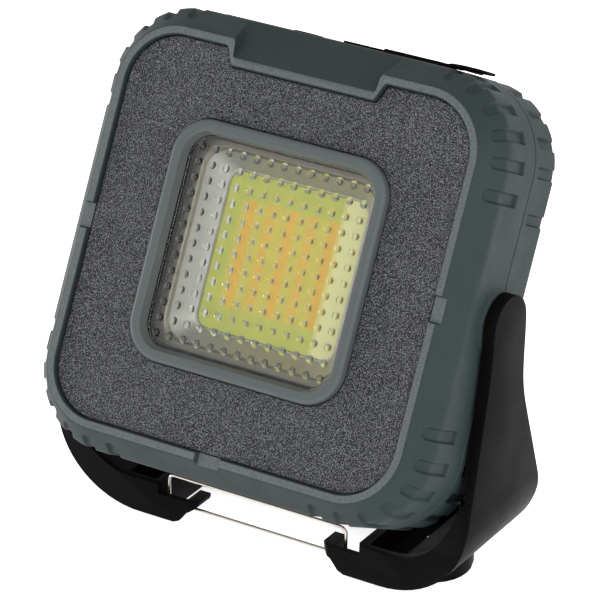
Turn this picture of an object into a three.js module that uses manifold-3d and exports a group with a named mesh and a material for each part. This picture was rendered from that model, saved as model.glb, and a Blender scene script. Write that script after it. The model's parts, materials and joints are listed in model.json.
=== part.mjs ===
// Cordless square work light on a U-shaped stand. Millimetres, +Z up, the lamp faces -Y.
// The origin is on the ground, under the middle of the whole light's box.
// The head is drawn upright in its own frame: X right, Y back and Z up from the middle of the lens face.
// It then leans back about the pivot axis that joins it to the stand.
// The stand is drawn with Y = 0 under the pivot axis and Z = 0 on the ground.
import * as THREE from 'three';
import { mergeVertices } from 'three/addons/utils/BufferGeometryUtils.js';
import Module from 'manifold-3d';

const wasm = await Module();
wasm.setup();

// ---- Driving dimensions ----

const HEAD_TILT = THREE.MathUtils.degToRad(27.4); // how far the head leans back
const PIVOT_DEPTH = 29.4; // pivot axis behind the lens face
const PIVOT_RISE = -0.3; // pivot axis above the head's middle
const PIVOT_HEIGHT = 108.3; // pivot axis above the ground
const STAND_OFFSET = 2.45; // centres the whole light's box over the origin
const GAP = 0.3; // clearance between pieces that meet

const HEAD_HALF = 86; // half width of the head at its widest
const CORNER_CENTRE = 53.5; // all the head's corners turn about this point
const RIM_HALF = 78.2; // outer edge of the flat front rim
const PANEL_HALF = 74; // edge of the front panel
const RIM_FRONT = -3.2; // front plane of the rim
const PANEL_FRONT = -1.4; // front plane of the panel
const PANEL_BACK = 0.6;
const CREASE_FRONT = 7.5; // where the front chamfer meets the side
const SEAM = 29; // plane between the two housing shells
const CREASE_REAR = 47; // where the side meets the rear chamfer
const HEAD_BACK = 57; // back plane of the head
const REAR_HALF = 76; // half width of the back face
const WALL = 3; // housing wall
const FRONT_WALL = [0.9, 3.6]; // front and back of the wall behind the panel

const BEZEL_HALF = 46.5;
const BEZEL_FRONT = -4.6;
const WINDOW_HALF = 41; // clear opening of the bezel
const LENS_HALF = 43.4;

const SLOT_WIDTH = 4.6;
const SLOT_DEPTH = 1.3;
const SLOT_END = 20.5; // rear end of the front shell's slots
const SLOT_REACH = 5.4; // straight run of a slot down the chamfer
const NOTCH_WIDTH = 4.2;
const NOTCH_DEPTH = 1.7;
const NOTCH_START = 33; // front end of the rear shell's notches

const ARM_OUTER = 91.8; // outer face of the stand's arms
const ARM_INNER = 86.9;
const ARM_RADIUS = 11.9; // round top of an arm
const BASE_BOTTOM = 1.8; // underside of the bracket, above the ground
const BASE_FRONT = -29.6; // front face of the stand's base
const BASE_REAR = 26;
const BASE_TOP = 16.3; // top of the base between the arms
const OUTER_CORNER = [54.5, 37.1]; // centre of the bracket's outer corner curve
const INNER_CORNER = [58.2, 49.6]; // centre of its inner corner curve
const LEDGE = [-26.2, 22.5]; // front and back of the step inside the U
const LEDGE_DEPTH = 2;
const WELL = [48.1, 62.5]; // the pocket beside each foot block, along X
const BLOCK_TOP = 12.3; // top of the two foot blocks
const BLOCK_END = 28.2; // inner end of the foot blocks
const WIRE_SLOT = [33, 44.2]; // slot in each foot block for the wire's leg, along X
const NOSE = [
  [38.6, BASE_BOTTOM], [36, 2.9], [34.2, 5.3], [32.6, 7.2], [30, 8.8], [28.6, 10], [BLOCK_END, 11.4],
]; // underside of a foot block's inner end, along X and Z
const BLOCK_STEP = 45.6; // where a foot block meets the base
const BLOCK_REAR = -18.4;
const BAR_FRONT = 8.4; // front face of the rear bar
const FOOT_X = 61;
const FOOT_Y = -1.5;
const FOOT_RADIUS = 15.7;

const PIVOT_BOSS = [13.2, 86.6]; // radius and face of the disc round each pivot on the head

const BAIL_Y = -24.9; // hinge line of the wire bail
const BAIL_Z = 7.4; // and its height
const BAIL_HEIGHT = 11.9;
const BAIL_HALF = 40;
const BAIL_SHIFT = -3.1; // the wire rests against one side of its slots
const WIRE_RADIUS = 0.7;

const CONTROL_Y = [10.5, 26.5]; // control strip on the head's top, front and back edge
const CONTROL_HALF = 46;
const CONTROL_TOP = 86.2;
const CONTROL_FLOOR = 83.8; // bottom of the housing's rebate for the strip
const BUTTON_SPOT = [-14, 18.5]; // power button, X and Y
const BUTTON_RADIUS = 6;
const POCKET_X = [4, 42.4]; // pocket over the sockets
const POCKET_Y = [13.9, 23.1];
const POCKET_FLOOR = 74.5;
const INDICATOR_XS = [-26, -31, -36, -41];

const COVER_X = [5.4, 46]; // port cover's flap, from its hinge end
const COVER_Y = [10.9, 26.1];
const COVER_Z = [85.5, 86.9];
const COVER_SEAT = 85.2; // the strip is cut down to here under the flap
const COVER_RAISED = [22.4, 87.5]; // where the cover's thicker part starts, and its top
const COVER_PLUG = [6.3, 41]; // plug that fills the pocket, along X
const PLUG_BOTTOM = 80.2;
const TAB_MIDDLE = 18.5; // middle of the pull tab, along Y

const PANEL_STEP_HEIGHT = 67; // top edge of the front panel where it steps down
const FACET_HEIGHT = 70.7; // where the flatter facet at the top meets the rim
const FACET_HALF = 29.6;
const SEAL_HALF = 39.9; // inner edge of the deep rubber seal behind the lens
const SEAL_Y = [2.3, 6.8];
const FUNNEL_HALF = [37.7, 30.2]; // reflector's opening behind the seal and at the light source
const FUNNEL_Y = [7.1, 18];
const EMITTER_HALF = 30.4;
const EMITTER_FRONT = 18.3;
const CELL_X = 65.5; // battery cells
const CELL_YS = [18.9, 38.1];
const CELL_RADIUS = 9.2;
const CELL_HALF_LENGTH = 32.5;

// ---- Finishes ----

function finish(color, roughness, metalness = 0) {
  return new THREE.MeshStandardMaterial({ color, roughness, metalness });
}

const housingGrey = finish(0x5b6463, 0.62);
const panelGrey = finish(0x3e3f43, 0.8);
const bezelGrey = finish(0x636b6b, 0.55);
const blackPlastic = finish(0x161616, 0.5);
const blackRubber = finish(0x0e0e0e, 0.8);
const clearPlastic = new THREE.MeshStandardMaterial({
  color: 0xf2f5f5, roughness: 0.05, metalness: 0, transparent: true, opacity: 0.35,
});
const mirrorPlastic = finish(0xd4d5d0, 0.2, 0.9);
const phosphor = finish(0xc9c33f, 0.6);
const aluminium = finish(0xb5b8ba, 0.4, 0.9);
const steel = finish(0xb9b4a9, 0.25, 1);
const darkSteel = finish(0x3a3a3c, 0.4, 0.9);
const brass = finish(0xb8923e, 0.35, 1);
const boardGreen = finish(0x1f5a36, 0.6);
const cellBlue = finish(0x2f6f9d, 0.45);
const trayWhite = finish(0xc8c8c2, 0.7);

// ---- Solids ----

function signedVolume(vertices, triangles) {
  const corners = [new THREE.Vector3(), new THREE.Vector3(), new THREE.Vector3()];
  let volume = 0;
  for (let i = 0; i < triangles.length; i += 3) {
    corners.forEach((corner, k) => corner.fromArray(vertices, triangles[i + k] * 3));
    volume += corners[0].dot(corners[1].cross(corners[2])) / 6;
  }
  return volume;
}

// Welded copy of a closed geometry, with its faces turned outwards, as a solid for cutting and joining.
function toSolid(geometry) {
  const bare = geometry.clone();
  bare.deleteAttribute('normal');
  bare.deleteAttribute('uv');
  const welded = mergeVertices(bare, 1e-4);
  const vertices = Float32Array.from(welded.attributes.position.array);
  const triangles = [];
  const source = welded.index.array;
  for (let i = 0; i < source.length; i += 3) {
    const [a, b, c] = [source[i], source[i + 1], source[i + 2]];
    if (a !== b && b !== c && c !== a) triangles.push(a, b, c);
  }
  if (signedVolume(vertices, triangles) < 0) triangles.reverse();
  const triVerts = Uint32Array.from(triangles);
  const mesh = new wasm.Mesh({ numProp: 3, vertProperties: vertices, triVerts });
  return new wasm.Manifold(mesh);
}

function toGeometry(solid) {
  const mesh = solid.getMesh();
  const geometry = new THREE.BufferGeometry();
  geometry.setAttribute('position', new THREE.BufferAttribute(Float32Array.from(mesh.vertProperties), 3));
  geometry.setIndex(new THREE.BufferAttribute(Uint32Array.from(mesh.triVerts), 1));
  geometry.computeVertexNormals();
  return geometry;
}

function combine(operation, base, tools) {
  let solid = toSolid(base);
  for (const tool of tools.flat(Infinity)) solid = solid[operation](toSolid(tool));
  return toGeometry(solid);
}

const cut = (base, ...tools) => combine('subtract', base, tools);
const join = (base, ...tools) => combine('add', base, tools);
const common = (base, ...tools) => combine('intersect', base, tools);

function block([x0, x1], [y0, y1], [z0, z1]) {
  const geometry = new THREE.BoxGeometry(x1 - x0, y1 - y0, z1 - z0);
  return geometry.translate((x0 + x1) / 2, (y0 + y1) / 2, (z0 + z1) / 2);
}

// Round bar from one point of an axis to another: the two other coordinates are its centre.
function bar(axis, radius, [from, to], [centreA, centreB], sides = 24) {
  const geometry = new THREE.CylinderGeometry(radius, radius, to - from, sides);
  const middle = (from + to) / 2;
  if (axis === 'x') return geometry.rotateZ(Math.PI / 2).translate(middle, centreA, centreB);
  if (axis === 'y') return geometry.translate(centreA, middle, centreB);
  return geometry.rotateX(Math.PI / 2).translate(centreA, centreB, middle);
}

// Flat shape in X and Z, given a thickness from y0 to y1.
function plate(shape, [y0, y1], curveSegments = 6) {
  const geometry = new THREE.ExtrudeGeometry(shape, { depth: y1 - y0, bevelEnabled: false, curveSegments });
  return geometry.rotateX(Math.PI / 2).translate(0, y1, 0);
}

// Flat shape in Y and Z, given a thickness from x0 to x1.
function sidePlate(shape, [x0, x1], curveSegments = 6) {
  const geometry = new THREE.ExtrudeGeometry(shape, { depth: x1 - x0, bevelEnabled: false, curveSegments });
  const turn = new THREE.Matrix4().makeBasis(
    new THREE.Vector3(0, 1, 0), new THREE.Vector3(0, 0, 1), new THREE.Vector3(1, 0, 0),
  );
  return geometry.applyMatrix4(turn).translate(x0, 0, 0);
}

// Solid through a stack of convex rings that all have the same number of points.
function loft(rings) {
  const count = rings[0].length;
  const index = [];
  for (let ring = 0; ring < rings.length - 1; ring += 1) {
    for (let i = 0; i < count; i += 1) {
      const a = ring * count + i;
      const b = ring * count + ((i + 1) % count);
      index.push(a, b, a + count, b, b + count, a + count);
    }
  }
  const last = (rings.length - 1) * count;
  for (let i = 1; i < count - 1; i += 1) {
    index.push(0, i + 1, i);
    index.push(last, last + i, last + i + 1);
  }
  const geometry = new THREE.BufferGeometry();
  geometry.setAttribute('position', new THREE.Float32BufferAttribute(rings.flat(2), 3));
  geometry.setIndex(index);
  return toGeometry(toSolid(geometry));
}

// Ring of a square with round corners, lying at depth y.
function squareRing(half, radius, y, steps = 6) {
  const ring = [];
  for (let corner = 0; corner < 4; corner += 1) {
    for (let step = 0; step <= steps; step += 1) {
      const angle = (corner + step / steps) * Math.PI / 2;
      const centreX = (half - radius) * (corner === 0 || corner === 3 ? 1 : -1);
      const centreZ = (half - radius) * (corner < 2 ? 1 : -1);
      ring.push([centreX + radius * Math.cos(angle), y, centreZ + radius * Math.sin(angle)]);
    }
  }
  return ring;
}

const headRing = (half, y, steps = 6) => squareRing(half, half - CORNER_CENTRE, y, steps);

function squareShape(half, radius) {
  const shape = new THREE.Shape();
  const inner = half - radius;
  shape.absarc(inner, inner, radius, 0, Math.PI / 2);
  shape.absarc(-inner, inner, radius, Math.PI / 2, Math.PI);
  shape.absarc(-inner, -inner, radius, Math.PI, Math.PI * 1.5);
  shape.absarc(inner, -inner, radius, Math.PI * 1.5, Math.PI * 2);
  return shape;
}

// Turned piece: a closed profile of [radius, height] points, spun about X, Y or Z.
function turned(profile, axis, [centreA, centreB], sides = 24) {
  const points = profile.map(([radius, height]) => new THREE.Vector2(radius, height));
  const geometry = new THREE.LatheGeometry(points, sides);
  if (axis === 'x') return geometry.rotateZ(-Math.PI / 2).translate(0, centreA, centreB);
  if (axis === 'y') return geometry.translate(centreA, 0, centreB);
  return geometry.rotateX(Math.PI / 2).translate(centreA, centreB, 0);
}

// ---- Groups ----

const light = new THREE.Group();
const stand = new THREE.Group();
const headPivot = new THREE.Group();
const head = new THREE.Group();
light.add(stand);
stand.position.y = STAND_OFFSET;
stand.add(headPivot);
headPivot.position.z = PIVOT_HEIGHT;
headPivot.rotation.x = -HEAD_TILT;
headPivot.add(head);
head.position.set(0, -PIVOT_DEPTH, -PIVOT_RISE);

function add(parent, name, geometry, material) {
  const mesh = new THREE.Mesh(toGeometry(toSolid(geometry)), material);
  mesh.name = name;
  parent.add(mesh);
}

const bothSides = [['right', 1], ['left', -1]];
const span = (side, near, far) => (side > 0 ? [near, far] : [-far, -near]);

// ---- Grip pattern round the head's corners ----

// Place on the head's widest outline, measured along it from where one corner's curve starts.
function outlinePoint(distance) {
  const radius = HEAD_HALF - CORNER_CENTRE;
  const arc = radius * Math.PI / 2;
  if (distance < 0) return { x: HEAD_HALF, z: CORNER_CENTRE + distance, nx: 1, nz: 0 };
  if (distance > arc) return { x: CORNER_CENTRE + arc - distance, z: HEAD_HALF, nx: 0, nz: 1 };
  const angle = distance / radius;
  const [nx, nz] = [Math.cos(angle), Math.sin(angle)];
  return { x: CORNER_CENTRE + radius * nx, z: CORNER_CENTRE + radius * nz, nx, nz };
}

const slotPlaces = [-9, 3.3, 14.6, 25.9, 37.2, 48.5];
const bottomSlotPlaces = [...slotPlaces, 59.8];
const notchPlaces = [-14.5, 3.3, 14.6, 25.9, 37.2, 48.5];

// Cutter with its own axes: u out of the surface, y back, v along the outline.
function placed(geometry, place, sideX, sideZ) {
  const out = new THREE.Vector3(place.nx * sideX, 0, place.nz * sideZ);
  const back = new THREE.Vector3(0, 1, 0);
  const along = new THREE.Vector3(-place.nz * sideX, 0, place.nx * sideZ);
  const frame = new THREE.Matrix4().makeBasis(out, back, along);
  frame.setPosition(place.x * sideX, 0, place.z * sideZ);
  return geometry.applyMatrix4(frame);
}

// Round-fronted slot that runs down the chamfer and back along the side.
function slotCutter() {
  const half = SLOT_WIDTH / 2;
  const side = block([-SLOT_DEPTH, 4], [CREASE_FRONT - 0.4, SLOT_END], [-half, half]);
  const tongue = new THREE.Shape();
  tongue.moveTo(-half, -1);
  tongue.lineTo(half, -1);
  tongue.lineTo(half, SLOT_REACH);
  tongue.absarc(0, SLOT_REACH, half, 0, Math.PI);
  const depth = SLOT_DEPTH + 4;
  const front = new THREE.ExtrudeGeometry(tongue, { depth, bevelEnabled: false, curveSegments: 3 });
  const chamfer = new THREE.Vector2(RIM_HALF - HEAD_HALF, RIM_FRONT + 0.5 - CREASE_FRONT).normalize();
  const across = new THREE.Vector3(0, 0, 1);
  const down = new THREE.Vector3(chamfer.x, chamfer.y, 0);
  const out = new THREE.Vector3(-chamfer.y, chamfer.x, 0);
  const frame = new THREE.Matrix4().makeBasis(across, down, out);
  frame.setPosition(-out.x * SLOT_DEPTH, CREASE_FRONT - out.y * SLOT_DEPTH, 0);
  return join(side, front.applyMatrix4(frame));
}

function gripCuts(cutter, topPlaces, bottomPlaces) {
  const cuts = [];
  for (const sideX of [1, -1]) {
    for (const place of topPlaces) cuts.push(placed(cutter.clone(), outlinePoint(place), sideX, 1));
    for (const place of bottomPlaces) cuts.push(placed(cutter.clone(), outlinePoint(place), sideX, -1));
  }
  return cuts;
}

// ---- Housing shells ----

// Outline of the recess that the front panel sits in, with the step down at the top.
function panelShape(grow) {
  const half = PANEL_HALF + grow;
  const radius = half - CORNER_CENTRE;
  const stepZ = PANEL_STEP_HEIGHT + grow;
  const shape = new THREE.Shape();
  shape.absarc(CORNER_CENTRE, CORNER_CENTRE, radius, 0, Math.PI / 2);
  shape.lineTo(36 - grow, half);
  shape.quadraticCurveTo(34.9 - grow, half, 34.4 - grow, half - 1.6);
  shape.lineTo(32.8 - grow, stepZ + 1.6);
  shape.quadraticCurveTo(32.2 - grow, stepZ, 30.2 - grow, stepZ);
  shape.lineTo(-30.2 + grow, stepZ);
  shape.quadraticCurveTo(-32.2 + grow, stepZ, -32.8 + grow, stepZ + 1.6);
  shape.lineTo(-34.4 + grow, half - 1.6);
  shape.quadraticCurveTo(-34.9 + grow, half, -36 + grow, half);
  shape.absarc(-CORNER_CENTRE, CORNER_CENTRE, radius, Math.PI / 2, Math.PI);
  shape.absarc(-CORNER_CENTRE, -CORNER_CENTRE, radius, Math.PI, Math.PI * 1.5);
  shape.absarc(CORNER_CENTRE, -CORNER_CENTRE, radius, Math.PI * 1.5, Math.PI * 2);
  return shape;
}

// Wedge in front of the flatter facet at the top. "sink" moves it down into the shell.
function topFacetWedge(sink) {
  const slope = (HEAD_HALF - FACET_HEIGHT) / (CREASE_FRONT - RIM_FRONT);
  const heightAt = (y) => FACET_HEIGHT + slope * (y - RIM_FRONT) - sink;
  const widthAt = (z) => FACET_HALF + (z - FACET_HEIGHT) * 0.27 + sink;
  const corners = [[-6, heightAt(-6)], [9, heightAt(9)], [-6, heightAt(9)]];
  const ring = (side) => corners.map(([y, z]) => [side * widthAt(z), y, z]);
  return loft([ring(-1), ring(1)]);
}

const screwSpot = 62;
const quarters = [[1, 1], [-1, 1], [-1, -1], [1, -1]];
const housingScrewSpots = quarters.map(([x, z]) => [x * screwSpot, z * screwSpot]);
const heatSinkScrewSpots = quarters.map(([x, z]) => [x * 47.8, z * 30]);
const boardPostSpots = [[36, 44], [-36, 44], [36, 66], [-36, 66]];

// The part in front of or behind the seam of the disc round each pivot, with the boss inside the wall.
function pivotDiscs(plane, toBack) {
  const [radius, face] = PIVOT_BOSS;
  const depths = toBack > 0 ? [plane, plane + 20] : [plane - 20, plane];
  return bothSides.map(([, side]) => common(
    join(
      bar('x', radius, span(side, HEAD_HALF - 1, face), [PIVOT_DEPTH, PIVOT_RISE], 32),
      bar('x', 8, span(side, 80, HEAD_HALF - 0.5), [PIVOT_DEPTH, PIVOT_RISE]),
    ),
    block([-100, 100], depths, [-20, 20]),
  ));
}

const pivotHoles = () => bothSides.map(([, side]) => (
  bar('x', 2.8, span(side, 78, 90), [PIVOT_DEPTH, PIVOT_RISE])
));

function frontHousing() {
  const outside = loft([
    headRing(RIM_HALF - 0.6, RIM_FRONT),
    headRing(RIM_HALF, RIM_FRONT + 0.5),
    headRing(HEAD_HALF, CREASE_FRONT),
    headRing(HEAD_HALF, SEAM - 0.55),
    headRing(HEAD_HALF - 0.4, SEAM - 0.15),
  ]);
  const cavity = cut(loft([
    headRing(79.2, FRONT_WALL[1], 4),
    headRing(HEAD_HALF - WALL, 8.5, 4),
    headRing(HEAD_HALF - WALL, SEAM + 1, 4),
  ]), topFacetWedge(2.6));
  const bosses = [
    housingScrewSpots.map((spot) => cut(
      bar('y', 4, [FRONT_WALL[1] - 0.5, SEAM - 0.4], spot, 12),
      bar('y', 2.1, [10, SEAM + 1], spot, 8),
    )),
    heatSinkScrewSpots.map((spot) => cut(
      bar('y', 3.3, [FRONT_WALL[1] - 0.5, 20.7], spot, 10),
      bar('y', 1.7, [12, 22], spot, 8),
    )),
    pivotDiscs(SEAM - 0.15, -1),
  ];
  const rimGates = [
    block([PANEL_HALF - 1, 80.6], [-6, PANEL_FRONT + 0.1], [-5, 5]),
    block([-80.6, -PANEL_HALF + 1], [-6, PANEL_FRONT + 0.1], [-5, 5]),
    block([-5, 5], [-6, PANEL_FRONT + 0.1], [-80.6, -PANEL_HALF + 1]),
  ];
  const controlRebate = block(
    [-CONTROL_HALF - GAP, CONTROL_HALF + GAP],
    [CONTROL_Y[0] - GAP, CONTROL_Y[1] + GAP],
    [CONTROL_FLOOR, HEAD_HALF + 3],
  );
  const controlWindow = block([-44, 44], [CONTROL_Y[0] + 1.5, CONTROL_Y[1] - 1.5], [76, HEAD_HALF]);
  const sealGroove = cut(
    loft([headRing(85.4, SEAM - 1.1), headRing(85.4, SEAM + 1)]),
    loft([headRing(83.6, SEAM - 2), headRing(83.6, SEAM + 2)]),
  );
  return cut(
    join(cut(outside, cavity), bosses),
    plate(panelShape(0.45), [-8, FRONT_WALL[0]]),
    loft([squareRing(43.8, 12.8, -1), squareRing(43.8, 12.8, 6)]),
    topFacetWedge(0),
    rimGates,
    controlRebate,
    controlWindow,
    sealGroove,
    pivotHoles(),
    gripCuts(slotCutter(), slotPlaces, bottomSlotPlaces),
  );
}

function rearHousing() {
  const outside = loft([
    headRing(HEAD_HALF - 0.4, SEAM + 0.15),
    headRing(HEAD_HALF, SEAM + 0.55),
    headRing(HEAD_HALF, CREASE_REAR),
    headRing(REAR_HALF, HEAD_BACK),
  ]);
  const cavity = loft([
    headRing(HEAD_HALF - WALL, SEAM - 1, 4),
    headRing(HEAD_HALF - WALL, CREASE_REAR - 1.2, 4),
    headRing(REAR_HALF - 1.2, HEAD_BACK - WALL, 4),
  ]);
  const posts = [
    pivotDiscs(SEAM + 0.15, 1),
    housingScrewSpots.map((spot) => bar('y', 5.6, [SEAM + 0.2, HEAD_BACK - 1], spot, 16)),
    boardPostSpots.map((spot) => bar('y', 3, [45.9, HEAD_BACK - 1], spot, 8)),
  ];
  const screwHoles = housingScrewSpots.map((spot) => [
    bar('y', 2.3, [SEAM - 2, HEAD_BACK + 1], spot, 10),
    bar('y', 4.3, [46.5, HEAD_BACK + 1], spot, 20),
  ]);
  const sealGroove = cut(
    loft([headRing(85.4, SEAM - 1), headRing(85.4, SEAM + 1.1)]),
    loft([headRing(83.6, SEAM - 2), headRing(83.6, SEAM + 2)]),
  );
  const notch = block([-NOTCH_DEPTH, 4], [NOTCH_START, HEAD_BACK + 2], [-NOTCH_WIDTH / 2, NOTCH_WIDTH / 2]);
  const backField = plate(squareShape(54, 10), [HEAD_BACK - 0.8, HEAD_BACK + 1]);
  return cut(
    join(cut(outside, cavity), posts),
    screwHoles,
    sealGroove,
    pivotHoles(),
    backField,
    gripCuts(notch, notchPlaces, notchPlaces),
  );
}

add(head, 'front_housing', frontHousing(), housingGrey);
add(head, 'rear_housing', rearHousing(), housingGrey);

// The seal is in two lengths, above and below the pivots that come through the seam.
const sealRing = cut(
  loft([headRing(85.1, SEAM - 0.8), headRing(85.1, SEAM + 0.8)]),
  loft([headRing(83.9, SEAM - 2), headRing(83.9, SEAM + 2)]),
);
for (const [name, edge] of [['top', 9], ['bottom', -9]]) {
  const keep = edge > 0 ? [edge, 100] : [-100, edge];
  add(head, `housing_seal_${name}`, common(sealRing, block([-100, 100], [20, 40], keep)), blackRubber);
}

// ---- Front panel, bezel, lens and reflector ----

const panel = cut(
  plate(panelShape(0), [PANEL_FRONT, PANEL_BACK]),
  plate(squareShape(BEZEL_HALF + GAP, 15.3), [-4, 4]),
);
add(head, 'front_panel', panel, panelGrey);

const bezel = cut(
  loft([
    squareRing(BEZEL_HALF - 1.2, 13.8, BEZEL_FRONT),
    squareRing(BEZEL_HALF, 15, BEZEL_FRONT + 1.2),
    squareRing(BEZEL_HALF, 15, PANEL_BACK),
  ]),
  loft([
    squareRing(WINDOW_HALF + 2.2, 12.2, BEZEL_FRONT - 1),
    squareRing(WINDOW_HALF + 1.4, 11.4, BEZEL_FRONT + 0.6),
    squareRing(WINDOW_HALF, 10, -0.9),
    squareRing(WINDOW_HALF, 10, 4),
  ]),
  loft([squareRing(LENS_HALF + GAP, 12.7, -GAP), squareRing(LENS_HALF + GAP, 12.7, 4)]),
);
add(head, 'lens_bezel', bezel, bezelGrey);

add(head, 'lens', loft([squareRing(LENS_HALF, 12.4, 0), squareRing(LENS_HALF, 12.4, 2)]), clearPlastic);

const lensSeal = cut(
  loft([squareRing(LENS_HALF, 12.4, SEAL_Y[0]), squareRing(LENS_HALF, 12.4, SEAL_Y[1])]),
  loft([squareRing(SEAL_HALF, 8.9, SEAL_Y[0] - 1), squareRing(SEAL_HALF, 8.9, SEAL_Y[1] + 1)]),
);
add(head, 'lens_seal', lensSeal, blackRubber);

// Square funnel from the seal down to the light source, with a flange at its front.
const funnelSlope = (FUNNEL_HALF[0] - FUNNEL_HALF[1]) / (FUNNEL_Y[1] - FUNNEL_Y[0]);
const reflector = cut(
  loft([
    squareRing(43, 12, FUNNEL_Y[0]),
    squareRing(43, 12, FUNNEL_Y[0] + 1.3),
    squareRing(FUNNEL_HALF[0] + 1.3, 10.4, FUNNEL_Y[0] + 1.3),
    squareRing(FUNNEL_HALF[1] + 1.4, 7, FUNNEL_Y[1]),
  ]),
  loft([
    squareRing(FUNNEL_HALF[0] + funnelSlope, 9.4, FUNNEL_Y[0] - 1),
    squareRing(FUNNEL_HALF[1] - funnelSlope, 5.2, FUNNEL_Y[1] + 1),
  ]),
);
add(head, 'reflector', reflector, mirrorPlastic);

const emitter = plate(squareShape(EMITTER_HALF, 5), [EMITTER_FRONT, EMITTER_FRONT + 0.6]);
add(head, 'cob_emitter', emitter, phosphor);
add(head, 'cob_board', plate(squareShape(34, 2), [19.2, 20.7]), aluminium);

function heatSink() {
  const fins = [];
  for (let x = -33; x <= 33; x += 6) fins.push(block([x - 0.8, x + 0.8], [23.5, 34], [-34, 34]));
  return cut(
    join(block([-52, 52], [21, 24], [-35, 35]), fins),
    heatSinkScrewSpots.map((spot) => bar('y', 1.9, [19, 26], spot, 12)),
  );
}

add(head, 'heat_sink', heatSink(), aluminium);

// Pan-head screw along Y with its head at the back: [head radius, thread radius, tip, underside, top].
function screwAlongY([headRadius, threadRadius, tip, underside, top], spot) {
  const profile = [
    [0, tip], [threadRadius, tip + 0.6], [threadRadius, underside],
    [headRadius, underside], [headRadius - 0.4, top], [0, top],
  ];
  const slot = block([spot[0] - 1.8, spot[0] + 1.8], [top - 1, top + 1], [spot[1] - 0.4, spot[1] + 0.4]);
  return cut(turned(profile, 'y', spot, 12), slot);
}

heatSinkScrewSpots.forEach((spot, i) => {
  add(head, `heat_sink_screw_${i + 1}`, screwAlongY([3, 1.4, 13, 24.2, 26], spot), steel);
});
housingScrewSpots.forEach((spot, i) => {
  add(head, `housing_screw_${i + 1}`, screwAlongY([3.7, 1.8, 13, 46.8, 49.4], spot), darkSteel);
});

// ---- Batteries ----

for (const [name, side] of bothSides) {
  const centreX = CELL_X * side;
  CELL_YS.forEach((y, i) => {
    const [radius, end] = [CELL_RADIUS, CELL_HALF_LENGTH];
    const profile = [
      [0, -end], [radius - 0.6, -end], [radius, 0.6 - end], [radius, end - 1.5],
      [radius - 0.6, end - 0.9], [3, end - 0.9], [3, end], [0, end],
    ];
    add(head, `battery_cell_${name}_${i + 1}`, turned(profile, 'z', [centreX, y], 18), cellBlue);
  });
  const tray = cut(
    block([-11.2, 9.6], [9.4, 47.6], [-36, 36]),
    block([-9.5, 12], [9, 48], [-32.9, 32.9]),
    block([5, 12], [8, 49], [-40, 40]),
  );
  if (side < 0) tray.rotateZ(Math.PI).translate(0, CELL_YS[0] + CELL_YS[1], 0);
  add(head, `battery_tray_${name}`, tray.translate(centreX, 0, 0), trayWhite);
}

// ---- Electronics ----

const driverBoard = cut(
  block([-40, 40], [44, 45.6], [40, 70]),
  boardPostSpots.map(([x, z]) => bar('y', 1.6, [43, 47], [x, z], 12)),
);
add(head, 'driver_board', driverBoard, boardGreen);
const coilProfile = [
  [0, 35.7], [7.4, 35.7], [8, 36.3], [8, 37.4], [6.4, 38], [6.4, 41], [8, 41.6], [8, 43.7], [0, 43.7],
];
add(head, 'driver_coil', turned(coilProfile, 'y', [14, 55], 14), darkSteel);
const canProfile = [[0, 33.7], [4.4, 33.7], [5, 34.3], [5, 43.7], [0, 43.7]];
add(head, 'driver_capacitor', turned(canProfile, 'y', [-12, 52], 14), darkSteel);

add(head, 'charge_board', block([2, 45], [11.5, 25.5], [67, 68.6]), boardGreen);
const usbA = cut(
  block([10, 24.4], [15, 22], [68.9, 79.6]),
  block([10.8, 23.6], [15.7, 21.3], [71, 82]),
);
add(head, 'usb_a_socket', join(usbA, block([11.5, 22.9], [16.6, 18.2], [70.5, 78.6])), steel);
const usbC = cut(
  block([29.6, 38.8], [16.9, 20.1], [68.9, 79.6]),
  block([30.2, 38.2], [17.4, 19.6], [71, 82]),
);
add(head, 'usb_c_socket', join(usbC, block([31, 37.4], [18.1, 18.9], [70.5, 79])), steel);

add(head, 'switch_board', block([-44, -2], [12.6, 24.4], [76.4, 78]), boardGreen);
const tactSwitch = join(
  block([BUTTON_SPOT[0] - 3, BUTTON_SPOT[0] + 3], [BUTTON_SPOT[1] - 3, BUTTON_SPOT[1] + 3], [78.3, 81]),
  bar('z', 1.7, [80.5, 81.9], BUTTON_SPOT, 12),
);
add(head, 'tact_switch', tactSwitch, darkSteel);

// Strip with the button hole and the indicator windows on the left, and the socket pocket on the right.
function controlPanel() {
  const strip = block([-CONTROL_HALF, CONTROL_HALF], CONTROL_Y, [CONTROL_FLOOR + GAP, CONTROL_TOP]);
  const pocketBox = block([2, 43.6], [12.4, 24.6], [73, 85]);
  const pocket = block(POCKET_X, POCKET_Y, [POCKET_FLOOR, 88]);
  const seatX = [COVER_X[0] - 0.4, CONTROL_HALF + 1];
  const seat = block(seatX, [CONTROL_Y[0] - 1, CONTROL_Y[1] + 1], [COVER_SEAT, 88]);
  const socketHoles = [
    block([9.7, 24.7], [14.7, 22.3], [72, 76]),
    block([29.3, 39.1], [16.6, 20.4], [72, 76]),
  ];
  const windows = INDICATOR_XS.map((x) => block([x - 1.3, x + 1.3], [17.2, 19.8], [83, 88]));
  const buttonHole = bar('z', BUTTON_RADIUS + GAP, [83, 88], BUTTON_SPOT, 32);
  return cut(join(strip, pocketBox), pocket, seat, socketHoles, windows, buttonHole);
}

add(head, 'control_panel', controlPanel(), blackPlastic);

const pipeBar = block([-43, -24], [16.2, 20.8], [82, 83.8]);
const pipeLugs = INDICATOR_XS.map((x) => block([x - 1, x + 1], [17.5, 19.5], [83, CONTROL_TOP]));
add(head, 'indicator_light_pipe', join(pipeBar, pipeLugs), clearPlastic);

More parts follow.
